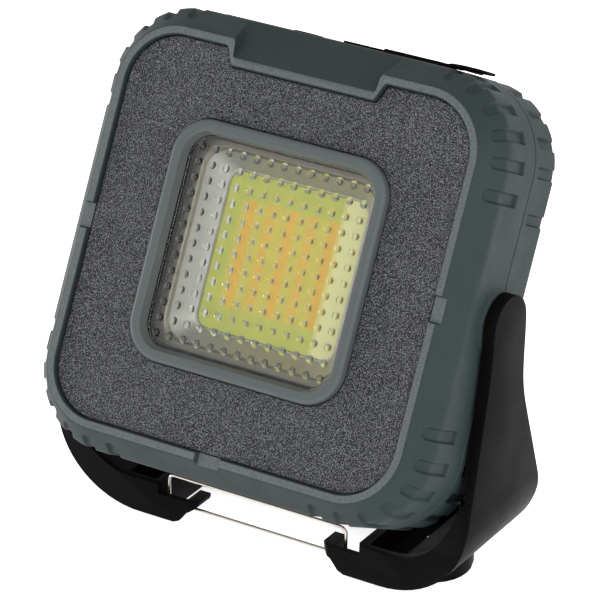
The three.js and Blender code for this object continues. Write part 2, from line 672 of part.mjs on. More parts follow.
const flangeTop = CONTROL_FLOOR - GAP;
const buttonProfile = [
  [0, 83], [7.2, 83], [7.2, flangeTop], [BUTTON_RADIUS, flangeTop],
  [BUTTON_RADIUS, CONTROL_TOP], [BUTTON_RADIUS - 0.6, CONTROL_TOP + 0.4], [0, CONTROL_TOP + 0.4],
];
// The button's flange has flats along the edges of the window it comes up through.
const button = common(
  turned(buttonProfile, 'z', BUTTON_SPOT, 28),
  block([-25, -3], [12.4, 24.6], [80, 90]),
);
add(head, 'power_button', button, blackRubber);

// Rubber flap over the sockets, hinged at its left end, with a pull tab over the head's corner.
function portCover() {
  const [raisedStart, raisedTop] = COVER_RAISED;
  const flap = block(COVER_X, COVER_Y, COVER_Z);
  const raisedY = [COVER_Y[0] + 0.7, COVER_Y[1] - 0.7];
  const raised = block([raisedStart, COVER_X[1] + 1], raisedY, [86.4, raisedTop]);
  const plug = block(COVER_PLUG, [POCKET_Y[0] + 0.7, POCKET_Y[1] - 0.7], [PLUG_BOTTOM, 86]);
  const tabRing = (x, bottom, top, halfWidth) => [
    [x, TAB_MIDDLE - halfWidth, bottom + 0.4], [x, TAB_MIDDLE - halfWidth + 0.4, bottom],
    [x, TAB_MIDDLE + halfWidth - 0.4, bottom], [x, TAB_MIDDLE + halfWidth, bottom + 0.4],
    [x, TAB_MIDDLE + halfWidth, top - 0.4], [x, TAB_MIDDLE + halfWidth - 0.4, top],
    [x, TAB_MIDDLE - halfWidth + 0.4, top], [x, TAB_MIDDLE - halfWidth, top - 0.4],
  ];
  const tab = loft([
    tabRing(45, 86.35, 87.3, 6.1), tabRing(49, 86.35, 87.5, 6.1), tabRing(50.6, 86.6, 88, 6.1),
    tabRing(56, 86.8, 88.25, 6.1), tabRing(61.6, 86.9, 88.2, 5.6), tabRing(63.8, 87, 88.1, 4.2),
    tabRing(64.5, 87.1, 87.95, 3.2),
  ]);
  const grip = block([55.4, 58.8], [TAB_MIDDLE - 4.5, TAB_MIDDLE + 4.5], [86.35, 87.4]);
  return join(flap, raised, plug, tab, grip);
}

add(head, 'port_cover', portCover(), blackRubber);

// ---- Stand bracket ----

// U seen from the front. "grow" moves the inner edge into the material.
function bracketFront(grow) {
  const [outerX, outerZ] = OUTER_CORNER;
  const [innerX, innerZ] = INNER_CORNER;
  const outerReach = [ARM_OUTER - outerX, outerZ - BASE_BOTTOM];
  const innerReach = [ARM_INNER - innerX + grow, innerZ - BASE_TOP + grow];
  const shape = new THREE.Shape();
  shape.moveTo(ARM_OUTER, 150);
  shape.lineTo(ARM_OUTER, outerZ);
  shape.absellipse(outerX, outerZ, ...outerReach, 0, -Math.PI / 2, true, 0);
  shape.absellipse(-outerX, outerZ, ...outerReach, -Math.PI / 2, -Math.PI, true, 0);
  shape.lineTo(-ARM_OUTER, 150);
  shape.lineTo(-innerX - innerReach[0], 150);
  shape.absellipse(-innerX, innerZ, ...innerReach, Math.PI, Math.PI * 1.5, false, 0);
  shape.absellipse(innerX, innerZ, ...innerReach, -Math.PI / 2, 0, false, 0);
  shape.lineTo(innerX + innerReach[0], 150);
  return shape;
}

// The bracket seen from the side: a broad base that sweeps up into a narrow round-topped arm.
function bracketSide() {
  const shape = new THREE.Shape();
  shape.moveTo(BASE_REAR, BASE_BOTTOM - 1);
  shape.lineTo(BASE_REAR, 30);
  shape.bezierCurveTo(25.6, 34, 22, 44, 18.6, 55);
  shape.bezierCurveTo(14.6, 67.5, 10.4, 76, 10.9, 88);
  shape.bezierCurveTo(11.1, 95, ARM_RADIUS, 101, ARM_RADIUS, PIVOT_HEIGHT);
  shape.absarc(0, PIVOT_HEIGHT, ARM_RADIUS, 0, Math.PI);
  shape.bezierCurveTo(-12.6, 92, -21, 66, BASE_FRONT, 31);
  shape.lineTo(BASE_FRONT, BASE_BOTTOM - 1);
  return shape;
}

// Inner end of a foot block seen from the front: cut away under its nose.
function blockEndCut(side) {
  const shape = new THREE.Shape();
  shape.moveTo(0, -2);
  shape.lineTo(side * NOSE[0][0], -2);
  for (const [x, z] of NOSE) shape.lineTo(side * x, z);
  shape.lineTo(side * BLOCK_END, 20);
  shape.lineTo(0, 20);
  return plate(shape, [BASE_FRONT - 2, BAR_FRONT]);
}

// Sloped front corner of a foot block seen from above.
function blockCornerCut(side) {
  const shape = new THREE.Shape();
  shape.moveTo(side * (BLOCK_END - 1), BASE_FRONT - 1);
  shape.lineTo(side * (BLOCK_END + 4), BASE_FRONT - 1);
  shape.lineTo(side * (BLOCK_END - 1), BASE_FRONT + 4);
  const geometry = new THREE.ExtrudeGeometry(shape, { depth: 20, bevelEnabled: false });
  return geometry.translate(0, 0, -2);
}

function standBracket() {
  const outline = common(
    plate(bracketFront(0), [BASE_FRONT - 1, BASE_REAR + 1], 8),
    sidePlate(bracketSide(), [-100, 100], 8),
  );
  const pedestals = bothSides.map(([, side]) => (
    bar('z', FOOT_RADIUS + 0.4, [BASE_BOTTOM + 0.6, 14], [side * FOOT_X, FOOT_Y], 28)
  ));
  // The U's inner edge, moved into the material: what it leaves of a low block is the step's hollow.
  const ledge = cut(
    block([-INNER_CORNER[0] - 30, INNER_CORNER[0] + 30], LEDGE, [BASE_TOP - LEDGE_DEPTH, INNER_CORNER[1]]),
    plate(bracketFront(LEDGE_DEPTH), [LEDGE[0] - 1, LEDGE[1] + 1], 8),
    block([-WELL[0], WELL[0]], [LEDGE[0] - 1, LEDGE[1] + 1], [0, BASE_TOP + 1]),
  );
  const slotFront = BAIL_Y - 2.2;
  const middle = [
    block([-BLOCK_STEP, BLOCK_STEP], [BASE_FRONT - 1, slotFront], [BLOCK_TOP, 30]),
    block([-WIRE_SLOT[1], WIRE_SLOT[1]], [slotFront - 1, BASE_REAR + 1], [BLOCK_TOP, 30]),
    block([-WIRE_SLOT[1], WIRE_SLOT[1]], [BLOCK_REAR, BAR_FRONT], [-1, 30]),
  ];
  const perSide = bothSides.map(([, side]) => [
    blockEndCut(side),
    blockCornerCut(side),
    block(span(side, ...WELL), [LEDGE[0] + 1, LEDGE[1] - 1], [6, 30]),
    block(span(side, ...WIRE_SLOT), [slotFront, BAR_FRONT], [-1, 30]),
    bar('x', 1.3, span(side, BLOCK_END - 5, 40), [BAIL_Y, BAIL_Z], 12),
    bar('z', FOOT_RADIUS + GAP, [-1, 3.4], [side * FOOT_X, FOOT_Y], 28),
    bar('z', 2.2, [-1, 13], [side * FOOT_X, FOOT_Y], 12),
    bar('x', 4.4, span(side, ARM_INNER - 1, 91.2), [0, PIVOT_HEIGHT], 16),
    bar('x', 7.8, span(side, ARM_INNER - 1, 88.2), [0, PIVOT_HEIGHT], 20),
  ]);
  return cut(join(outline, pedestals), ledge, middle, perSide);
}

add(stand, 'stand_bracket', standBracket(), blackPlastic);

// ---- Feet ----

for (const [name, side] of bothSides) {
  const spot = [side * FOOT_X, FOOT_Y];
  const pad = turned([
    [2.4, 1.3], [5, 1.3], [5, 0], [FOOT_RADIUS - 0.8, 0], [FOOT_RADIUS, 0.8], [FOOT_RADIUS, 3.1],
    [11.6, 3.1], [11.6, 1.9], [2.4, 1.9], [2.4, 1.3],
  ], 'z', spot, 28);
  add(stand, `foot_pad_${name}`, pad, blackRubber);
  const magnet = turned([[2.4, 2.1], [11.2, 2.1], [11.2, 3.1], [2.4, 3.1], [2.4, 2.1]], 'z', spot, 24);
  add(stand, `foot_magnet_${name}`, magnet, darkSteel);
  const screw = cut(
    turned([
      [0, -0.3], [3.8, -0.3], [4.2, 0.1], [4.2, 0.6], [1.9, 0.6], [1.9, 11], [0, 11.8],
    ], 'z', spot, 16),
    block([spot[0] - 2, spot[0] + 2], [FOOT_Y - 0.4, FOOT_Y + 0.4], [-2, 0.2]),
  );
  add(stand, `foot_screw_${name}`, screw.translate(0, 0, 0.4), steel);
}

// ---- Pivots ----

for (const [name, side] of bothSides) {
  const profile = (points) => {
    const geometry = turned(points, 'x', [0, 0], 16);
    if (side < 0) geometry.rotateZ(Math.PI);
    return geometry.translate(0, 0, PIVOT_HEIGHT);
  };
  const insert = profile([[2.7, 88.4], [4.1, 88.4], [4.1, 90.9], [2.7, 90.9], [2.7, 88.4]]);
  add(stand, `pivot_insert_${name}`, insert, brass);
  const bolt = profile([
    [0, 76.2], [4.4, 76.2], [4.8, 76.6], [4.8, 79.6], [2.4, 79.6], [2.4, 90.4], [0, 90.8],
  ]);
  const socket = block(span(side, 75, 78.2), [-1.4, 1.4], [PIVOT_HEIGHT - 1.4, PIVOT_HEIGHT + 1.4]);
  add(stand, `pivot_bolt_${name}`, cut(bolt, socket), steel);
  const washer = profile([[2.7, 86.9], [7.5, 86.9], [7.5, 87.9], [2.7, 87.9], [2.7, 86.9]]);
  add(stand, `friction_washer_${name}`, washer, steel);
}

// ---- Wire bail ----

// Round wire along a flat rectangular loop in X and Z. Its two ends meet inside the left foot block.
function hangingBail() {
  const bend = 2.6;
  const corners = [[1, 0], [1, 1], [-1, 1], [-1, 0]];
  const path = [[-37, 0]];
  corners.forEach(([sideX, up], i) => {
    const centreX = sideX * (BAIL_HALF - bend);
    const centreZ = up ? BAIL_HEIGHT - bend : bend;
    for (let step = 0; step <= 4; step += 1) {
      const angle = (i - 1 + step / 4) * Math.PI / 2;
      path.push([centreX + bend * Math.cos(angle), centreZ + bend * Math.sin(angle)]);
    }
  });
  path.push([-37.35, 0]);
  const rings = path.map(([x, z], i) => {
    const before = path[Math.max(i - 1, 0)];
    const after = path[Math.min(i + 1, path.length - 1)];
    const run = new THREE.Vector2(after[0] - before[0], after[1] - before[1]).normalize();
    const ring = [];
    for (let side = 0; side < 10; side += 1) {
      const angle = side * Math.PI / 5;
      const reach = WIRE_RADIUS * Math.cos(angle);
      ring.push([x - run.y * reach, WIRE_RADIUS * Math.sin(angle), z + run.x * reach]);
    }
    return ring;
  });
  return loft(rings).translate(BAIL_SHIFT, BAIL_Y, BAIL_Z);
}

add(stand, 'hanging_bail', hangingBail(), steel);

export default light;
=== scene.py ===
import json
import math

import bmesh
import bpy
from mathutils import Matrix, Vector


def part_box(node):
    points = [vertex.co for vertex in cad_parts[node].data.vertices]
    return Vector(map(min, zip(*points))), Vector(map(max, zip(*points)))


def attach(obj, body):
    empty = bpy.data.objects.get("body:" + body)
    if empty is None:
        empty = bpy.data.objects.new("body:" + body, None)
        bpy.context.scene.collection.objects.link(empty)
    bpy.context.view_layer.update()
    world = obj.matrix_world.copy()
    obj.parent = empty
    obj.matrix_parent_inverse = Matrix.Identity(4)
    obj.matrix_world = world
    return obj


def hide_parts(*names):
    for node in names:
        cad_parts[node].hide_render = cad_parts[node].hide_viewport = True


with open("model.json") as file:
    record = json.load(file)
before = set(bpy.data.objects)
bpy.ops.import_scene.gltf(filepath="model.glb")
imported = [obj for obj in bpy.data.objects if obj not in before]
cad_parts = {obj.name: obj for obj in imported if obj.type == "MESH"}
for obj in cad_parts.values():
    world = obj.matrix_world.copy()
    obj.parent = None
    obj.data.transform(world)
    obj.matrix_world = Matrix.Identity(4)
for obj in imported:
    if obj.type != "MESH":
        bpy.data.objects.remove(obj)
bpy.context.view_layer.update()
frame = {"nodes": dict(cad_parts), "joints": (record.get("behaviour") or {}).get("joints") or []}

MM = 0.001

# ---------------------------------------------------------------- the head's own frame

joints = {joint["name"]: joint for joint in frame["joints"]}
RIGHT = Vector((1, 0, 0))
UP = -Vector(joints["power_button_press"]["axis"]).normalized()
BACK = UP.cross(RIGHT)
LENS_THICKNESS = 0.002
lens_low, lens_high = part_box("lens")
ORIGIN = (lens_low + lens_high) / 2 - BACK * (LENS_THICKNESS / 2)


def head_point(x, y, z):
    """A point given in millimetres from the middle of the lens face: right, back and up."""
    return ORIGIN + MM * (x * RIGHT + y * BACK + z * UP)


# Head dimensions in millimetres, as in the CAD source.
HEAD_HALF = 86
CORNER = 53.5  # all corners of the head turn about this point
ARC = (HEAD_HALF - CORNER) * math.pi / 2
RIM_HALF, RIM_FRONT = 78.2, -3.2
PANEL_HALF, PANEL_FRONT = 74, -1.4
CREASE_FRONT, SEAM, CREASE_REAR, HEAD_BACK, REAR_HALF = 7.5, 29, 47, 57, 76
SLOT_HALF, SLOT_DEPTH, SLOT_REACH, SLOT_RUN = 2.3, 1.3, 5.4, 13.0
NOTCH_HALF, NOTCH_DEPTH, NOTCH_START = 2.1, 1.7, 33
FRONT_SLOTS = [-9, 3.3, 14.6, 25.9, 37.2, 48.5]
LOW_SLOTS = FRONT_SLOTS + [59.8]
REAR_NOTCHES = [-14.5, 3.3, 14.6, 25.9, 37.2, 48.5]
PIVOT = (29.4, -0.3)
PIVOT_DISC, PIVOT_PROUD = 13.2, 0.6
CONTROL_HALF, CONTROL_FRONT, CONTROL_REAR, CONTROL_FLOOR = 46.3, 10.2, 26.8, 83.8
GATE_HALF = 5
FACET_START, FACET_HALF, FACET_SPREAD = 70.7, 29.6, 0.27
STEP_HEIGHT, STEP_START, STEP_RUN = 67, 31, 4.4
SEAM_EDGE = [(85.85, 0.3), (85.6, 0.15), (83, 0.15)]  # half width and gap from the seam
STEP_CLEAR = 60  # a ring below the panel's step down, for even faces

# ---------------------------------------------------------------- node trees


class Tree:
    """A material's node tree, with short calls that add a node and link its inputs."""

    def __init__(self, name):
        self.material = bpy.data.materials.new(name)
        self.material.use_nodes = True
        self.nodes = self.material.node_tree.nodes
        self.links = self.material.node_tree.links
        self.nodes.clear()
        self.output = self.nodes.new("ShaderNodeOutputMaterial")
        self.coordinates = self.nodes.new("ShaderNodeTexCoord").outputs["Object"]

    def put(self, socket, value):
        if isinstance(value, bpy.types.NodeSocket):
            self.links.new(value, socket)
        else:
            socket.default_value = value

    def noise(self, pitch, detail=2.0, roughness=0.5, vector=None, distortion=0.0):
        node = self.nodes.new("ShaderNodeTexNoise")
        self.put(node.inputs["Vector"], self.coordinates if vector is None else vector)
        node.inputs["Scale"].default_value = 1 / pitch
        node.inputs["Detail"].default_value = detail
        node.inputs["Roughness"].default_value = roughness
        node.inputs["Distortion"].default_value = distortion
        return node.outputs["Fac"]

    def span(self, value, low, high, to_low, to_high):
        node = self.nodes.new("ShaderNodeMapRange")
        self.put(node.inputs["Value"], value)
        node.inputs["From Min"].default_value = low
        node.inputs["From Max"].default_value = high
        node.inputs["To Min"].default_value = to_low
        node.inputs["To Max"].default_value = to_high
        return node.outputs["Result"]

    def math(self, operation, a, b=0.0):
        node = self.nodes.new("ShaderNodeMath")
        node.operation = operation
        self.put(node.inputs[0], a)
        self.put(node.inputs[1], b)
        return node.outputs[0]

    def mix(self, factor, a, b):
        node = self.nodes.new("ShaderNodeMix")
        node.data_type = "RGBA"
        self.put(node.inputs["Factor"], factor)
        self.put(node.inputs["A"], a if isinstance(a, bpy.types.NodeSocket) else (*a, 1))
        self.put(node.inputs["B"], b if isinstance(b, bpy.types.NodeSocket) else (*b, 1))
        return node.outputs["Result"]

    def share(self, vector, direction):
        """How much of a vector lies along a fixed direction."""
        node = self.nodes.new("ShaderNodeVectorMath")
        node.operation = "DOT_PRODUCT"
        self.put(node.inputs[0], vector)
        node.inputs[1].default_value = direction
        return node.outputs["Value"]

    def depth(self, near, far):
        """0 at the near depth behind the lens face, 1 at the far one, in millimetres."""
        start = ORIGIN.dot(BACK)
        return self.span(self.share(self.coordinates, BACK), start + near * MM, start + far * MM, 0, 1)

    def facing(self, direction, low, high):
        """0 to 1 as the surface turns towards a direction of the piece's own frame."""
        normal = self.nodes.new("ShaderNodeTexCoord").outputs["Normal"]
        return self.span(self.share(normal, direction), low, high, 0, 1)

    def pointiness(self):
        return self.nodes.new("ShaderNodeNewGeometry").outputs["Pointiness"]

    def axis(self, name):
        node = self.nodes.new("ShaderNodeSeparateXYZ")
        self.put(node.inputs[0], self.coordinates)
        return node.outputs[name]

    def stretched(self, scale):
        node = self.nodes.new("ShaderNodeMapping")
        self.put(node.inputs["Vector"], self.coordinates)
        node.inputs["Scale"].default_value = scale
        return node.outputs["Vector"]

    def bump(self, height, depth):
        node = self.nodes.new("ShaderNodeBump")
        self.put(node.inputs["Height"], height)
        node.inputs["Distance"].default_value = depth
        node.inputs["Strength"].default_value = 1.0
        return node.outputs["Normal"]

    def principled(self, **sockets):
        node = self.nodes.new("ShaderNodeBsdfPrincipled")
        for name, value in sockets.items():
            self.put(node.inputs[name.replace("_", " ")], value)
        self.links.new(node.outputs[0], self.output.inputs["Surface"])
        return node


SPECKLE = 0.35  # share of the lighter colour in a moulded surface's speckle


def moulded(name, colour, dark, light, rough, grain, grain_depth, spec=0.5, rim=None):
    """Moulded plastic: faint clouding, fine speckle, rubbed edges, and a spark-eroded grain.

    The rim colour is a painted highlight: a lighter colour for the flat faces that turn to the front of the head,
    where the light falls.
    """
    t = Tree(name)
    cloud = t.span(t.noise(0.03, 3), 0.3, 0.7, 0, 1)
    speck = t.span(t.noise(grain * 1.5, 2), 0.35, 0.65, 0, 1)
    tone = t.mix(cloud, [c * dark for c in colour], colour)
    tone = t.mix(t.math("MULTIPLY", speck, SPECKLE), tone, [c * light for c in colour])
    edge = t.span(t.pointiness(), 0.52, 0.6, 0, 0.5)
    tone = t.mix(edge, tone, [min(1, c * light * 1.6) for c in colour])
    if rim is not None:
        # painted highlight: faces turned to the front take the lighter, speckled rim colour
        front_lit_tone = t.mix(speck, [c * 0.85 for c in rim], [c * 1.15 for c in rim])
        tone = t.mix(t.facing(-BACK, 0.9, 0.98), tone, front_lit_tone)
    gloss = t.span(t.noise(0.012, 3), 0.3, 0.7, rough - 0.05, rough + 0.06)
    normal = t.bump(t.noise(grain, 3, 0.6), grain_depth)
    t.principled(Base_Color=tone, Roughness=gloss, Normal=normal, Specular_IOR_Level=spec)
    return t.material


def leather(name, low, high, rough, pitch, depth):
    """Dark plastic with a coarse leather-like mould grain: pale crests and dark valleys."""
    t = Tree(name)
    crest = t.noise(pitch, 1, 0.5, distortion=0.6)
    tone = t.mix(t.span(crest, 0.51, 0.6, 0, 1), low, high)
    cloud = t.span(t.noise(0.02, 3), 0.3, 0.7, 0, 0.06)
    tone = t.mix(cloud, tone, high)
    gloss = t.span(crest, 0.35, 0.65, rough + 0.12, rough - 0.06)
    normal = t.bump(crest, depth)
    t.principled(Base_Color=tone, Roughness=gloss, Normal=normal, Specular_IOR_Level=0.25)
    return t.material


def metal(name, colour, rough, grain=(1, 1, 1), pitch=0.0004, depth=0.00001, lip=None):
    """Bare metal: slow tarnish, fine brushing along the stretched axis, worn edges.

    lip is a darker colour given to the reflector's front edge.
    """
    t = Tree(name)
    brushed = t.noise(pitch, 3, 0.6, vector=t.stretched(grain))
    tarnish = t.span(t.noise(0.01, 3), 0.3, 0.7, 0, 1)
    tone = t.mix(tarnish, [c * 0.86 for c in colour], colour)
    tone = t.mix(t.span(t.pointiness(), 0.52, 0.58, 0, 0.4), tone, [min(1, c * 1.15) for c in colour])
    if lip is not None:
        # the front edge, less than about 9 mm deep, goes over to the darker lip colour
        tone = t.mix(t.depth(9.0, 8.4), tone, lip)
    gloss = t.span(brushed, 0.3, 0.7, max(0.05, rough - 0.07), rough + 0.07)
    normal = t.bump(brushed, depth)
    t.principled(Base_Color=tone, Metallic=1.0, Roughness=gloss, Normal=normal)
    return t.material


def clear(name, rough):
    """Clear plastic that lets light straight through for shadows, with painted shade on its right-hand flanks."""
    t = Tree(name)
    gloss = t.span(t.noise(0.004, 2), 0.3, 0.7, rough, rough + 0.03)
    normal = t.bump(t.noise(0.0015, 2), 0.000004)
    tone = t.mix(t.span(t.noise(0.02, 2), 0.3, 0.7, 0, 1), (0.97, 0.985, 0.98), (0.99, 0.995, 0.99))
    # painted shade: faces that turn to the right are darkened towards a dark blue-grey
    tone = t.mix(t.facing(RIGHT, 0.3, 0.75), tone, (0.1, 0.11, 0.14))
    glass = t.principled(
        Base_Color=tone, Roughness=gloss, Normal=normal, IOR=1.49, Transmission_Weight=1.0,
    )
    through = t.nodes.new("ShaderNodeBsdfTransparent")
    choice = t.nodes.new("ShaderNodeMixShader")
    path = t.nodes.new("ShaderNodeLightPath")
    t.links.new(path.outputs["Is Shadow Ray"], choice.inputs[0])
    t.links.new(glass.outputs[0], choice.inputs[1])
    t.links.new(through.outputs[0], choice.inputs[2])
    t.links.new(choice.outputs[0], t.output.inputs["Surface"])
    return t.material


STRIPE_PITCH = 0.009
STRIPE_HALF_WIDTH = 0.0019
STRIPE_EDGE = 0.0006
STRIPE_REACH = 0.021
STRIPE_SHIFT = 0.001  # the stripes' middle lies this far to the left


def phosphor():
    """Yellow-green silicone with five soft orange bands where the rows of dies sit."""
    t = Tree("phosphor")
    x = t.math("ADD", t.axis("X"), STRIPE_SHIFT)
    wrapped = t.math("PINGPONG", t.math("ADD", x, STRIPE_PITCH * 4), STRIPE_PITCH / 2)
    stripe = t.span(wrapped, STRIPE_HALF_WIDTH + STRIPE_EDGE, STRIPE_HALF_WIDTH - STRIPE_EDGE, 0, 1)
    inside = t.span(t.math("ABSOLUTE", x), 0.0228, 0.0218, 0, 1)
    height = t.math("ABSOLUTE", t.math("SUBTRACT", t.share(t.coordinates, UP), ORIGIN.dot(UP)))
    inside = t.math("MULTIPLY", inside, t.span(height, STRIPE_REACH, STRIPE_REACH - 0.001, 0, 1))
    cloud = t.span(t.noise(0.006, 3), 0.3, 0.7, 0, 1)
    green = t.mix(cloud, (0.36, 0.39, 0.035), (0.42, 0.45, 0.045))
    yellow = t.mix(cloud, (0.46, 0.4, 0.03), (0.52, 0.45, 0.04))
    orange = t.mix(t.span(t.noise(0.002, 2), 0.3, 0.7, 0, 1), (0.58, 0.33, 0.008), (0.64, 0.36, 0.01))
    tone = t.mix(inside, green, yellow)
    tone = t.mix(t.math("MULTIPLY", stripe, inside), tone, orange)
    # painted highlight: the emitter turns paler towards its right-hand edge
    tone = t.mix(t.span(x, 0.0195, 0.0225, 0, 0.75), tone, (0.72, 0.7, 0.34))
    gloss = t.span(t.noise(0.003, 2), 0.3, 0.7, 0.35, 0.5)
    normal = t.bump(t.noise(0.0008, 2), 0.00003)
    t.principled(Base_Color=tone, Roughness=gloss, Normal=normal)
    return t.material


LOOKS = {
    # the housing's rim colour is a painted highlight on its front-facing faces
    "housing_grey": moulded(
        "housing grey", (0.0165, 0.026, 0.026), 0.9, 1.25, 0.6, 0.0006, 0.00005, 0.2, rim=(0.08, 0.092, 0.091),
    ),
    "panel_grey": leather("panel grey", (0.001, 0.001, 0.0012), (0.13, 0.133, 0.145), 0.55, 0.00038, 0.0002),
    "bezel_grey": moulded("bezel grey", (0.066, 0.077, 0.076), 0.92, 1.2, 0.42, 0.0005, 0.00003, 0.3),
    "black_plastic": moulded("black plastic", (0.0025, 0.0025, 0.0027), 0.8, 1.5, 0.45, 0.0005, 0.00003, 0.025),
    "black_rubber": moulded("black rubber", (0.002, 0.002, 0.002), 0.8, 1.5, 0.55, 0.0007, 0.00006, 0.03),
    "lens_clear": clear("clear plastic", 0.02),
    "reflector_silver": metal(
        "reflector silver", (0.46, 0.465, 0.44), 0.42, pitch=0.004, depth=0.000002, lip=(0.16, 0.15, 0.11),
    ),
    "phosphor": phosphor(),
    "aluminium": metal("aluminium", (0.6, 0.61, 0.62), 0.35, grain=(1, 8, 8)),
    "steel": metal("steel", (0.62, 0.57, 0.5), 0.22, grain=(1, 6, 6)),
    "dark_metal": metal("dark metal", (0.1, 0.1, 0.11), 0.36, grain=(5, 1, 5)),
    "brass": metal("brass", (0.62, 0.42, 0.14), 0.3, grain=(6, 1, 1)),
    "board_green": moulded("board green", (0.012, 0.09, 0.035), 0.85, 1.3, 0.35, 0.002, 0.00002),
    "cell_wrap": moulded("cell wrap", (0.025, 0.13, 0.28), 0.9, 1.2, 0.32, 0.001, 0.00001),
    "tray_plastic": moulded("tray plastic", (0.52, 0.52, 0.48), 0.92, 1.1, 0.5, 0.0006, 0.00003),
}

for node in frame["nodes"].values():
    for s in node.material_slots:
        key = s.material.name.split(".")[0] if s.material else ""
        if key in LOOKS:
            s.link = "OBJECT"
            s.material = LOOKS[key]

# ---------------------------------------------------------------- making pieces


BAR_SIDES = 32


def smoothstep(value):
    value = min(1.0, max(0.0, value))
    return value * value * (3 - 2 * value)


def spread(start, end, step):
    """Values from start to end, at most step apart."""
    count = max(1, math.ceil((end - start) / step))
    return [start + (end - start) * i / count for i in range(count + 1)]


def merged(*lists):
    """The lists as one rising list, without near repeats."""
    kept = []
    for value in sorted(v for values in lists for v in values):
        if not kept or value - kept[-1] > 0.12:
            kept.append(value)
    return kept


def finished(shape, name, look, body, nodes, sharp=35):
    """Turns a bmesh into a smooth-shaded piece that rides a body and stands for some nodes."""
    mesh = bpy.data.meshes.new(name)
    shape.to_mesh(mesh)
    shape.free()
    mesh.polygons.foreach_set("use_smooth", [True] * len(mesh.polygons))
    mesh.set_sharp_from_angle(angle=math.radians(sharp))
    made = bpy.data.objects.new(name, mesh)
    bpy.context.scene.collection.objects.link(made)
    mesh.materials.append(LOOKS[look])
    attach(made, body)
    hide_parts(*nodes)
    return made


def lofted(rows, ends="joined"):
    """Surface through closed rows of points: the last row joins the first, or both ends get a cap."""
    shape = bmesh.new()
    grid = [[shape.verts.new(point) for point in row] for row in rows]
    count = len(rows[0])
    pairs = list(zip(grid, grid[1:]))
    if ends == "joined":
        pairs.append((grid[-1], grid[0]))
    for near, far in pairs:
        for i in range(count):
            j = (i + 1) % count
            shape.faces.new((near[i], near[j], far[j], far[i]))
    if ends == "capped":
        shape.faces.new(grid[0])
        shape.faces.new(grid[-1])
    bmesh.ops.recalc_face_normals(shape, faces=shape.faces)
    return shape


def cut_out(made, *cutters):
    """Takes closed cutters away from a piece, and applies the cuts."""
    for cutter in cutters:
        change = made.modifiers.new("cut", "BOOLEAN")
        change.operation = "DIFFERENCE"
        change.solver = "EXACT"
        change.object = cutter
    seen = made.evaluated_get(bpy.context.evaluated_depsgraph_get())
    mesh = bpy.data.meshes.new_from_object(seen)
    made.modifiers.clear()
    made.data = mesh
    for cutter in cutters:
        bpy.data.objects.remove(cutter)


def head_box(xs, ys, zs):
    """Closed box in the head's frame, as a cutter."""
    ring = [(0, 0), (1, 0), (1, 1), (0, 1)]
    rows = [[head_point(xs[i], ys[j], z) for i, j in ring] for z in zs]
    return cutter_from(lofted(rows, ends="capped"))


def head_bar(x, z, radius, ys):
    """Closed round bar along the head's depth, as a cutter."""
    angles = [2 * math.pi * i / BAR_SIDES for i in range(BAR_SIDES)]
    rows = [[head_point(x + radius * math.cos(a), y, z + radius * math.sin(a)) for a in angles] for y in ys]
    return cutter_from(lofted(rows, ends="capped"))


def cutter_from(shape):
    mesh = bpy.data.meshes.new("cutter")
    shape.to_mesh(mesh)
    shape.free()
    made = bpy.data.objects.new("cutter", mesh)
    bpy.context.scene.collection.objects.link(made)
    return made


WELD = 0.00002
FLAT_ANGLE, SHARP_ANGLE = math.radians(1.5), math.radians(28)


def softened(node, width, look, body):
    """Copy of a CAD node with its flat faces merged and its sharp edges rounded."""
    shape = bmesh.new()
    shape.from_mesh(frame["nodes"][node].data)
    bmesh.ops.remove_doubles(shape, verts=shape.verts, dist=WELD)
    bmesh.ops.dissolve_limit(shape, angle_limit=FLAT_ANGLE, verts=shape.verts, edges=shape.edges)
    edges = [e for e in shape.edges if len(e.link_faces) == 2 and e.calc_face_angle(0) > SHARP_ANGLE]
    bmesh.ops.bevel(
        shape, geom=edges, offset=width, offset_type="OFFSET", segments=3, profile=0.5,
        affect="EDGES", clamp_overlap=True,
    )
    return finished(shape, node + "_moulded", look, body, [node])


# ---------------------------------------------------------------- head housing


class Station:
    """One place round a square outline with round corners, found by its distance along one quarter."""

    def __init__(self, distance, side_x, side_z):
        self.sides = (side_x, side_z)
        turn = min(1.0, max(0.0, distance / ARC)) * math.pi / 2
        self.along = (
            min(1.0, (CORNER - max(0.0, distance - ARC)) / CORNER),
            min(1.0, (CORNER + min(0.0, distance)) / CORNER),
        )
        self.normal = (math.cos(turn), math.sin(turn))

    def at(self, half, corner=CORNER):
        """Position in the first quarter on a ring of this half width."""
        reach = half - corner
        return (
            self.along[0] * corner + reach * self.normal[0],
            self.along[1] * corner + reach * self.normal[1],
        )

    def point(self, x, y, z):
        return head_point(x * self.sides[0], y, z * self.sides[1])

    def ring_point(self, half, corner, y):
        x, z = self.at(half, corner)
        return self.point(x, y, z)


def stations(distances):
    """The same distances in all four quarters, in order round the outline."""
    made = []
    for side_x, side_z, order in ((1, 1, 1), (-1, 1, -1), (-1, -1, 1), (1, -1, -1)):
        quarter = distances if order > 0 else distances[::-1]
        made += [Station(d, side_x, side_z) for d in quarter[:-1]]
    return made


def grip_columns(places, half, edge):
    """Extra distances on both edges of each slot or notch, where the skin turns sharply."""
    steps = (-edge * 1.6, -edge, 0, edge, edge * 1.6)
    return [p + side * half + step for p in places for side in (1, -1) for step in steps] + list(places)


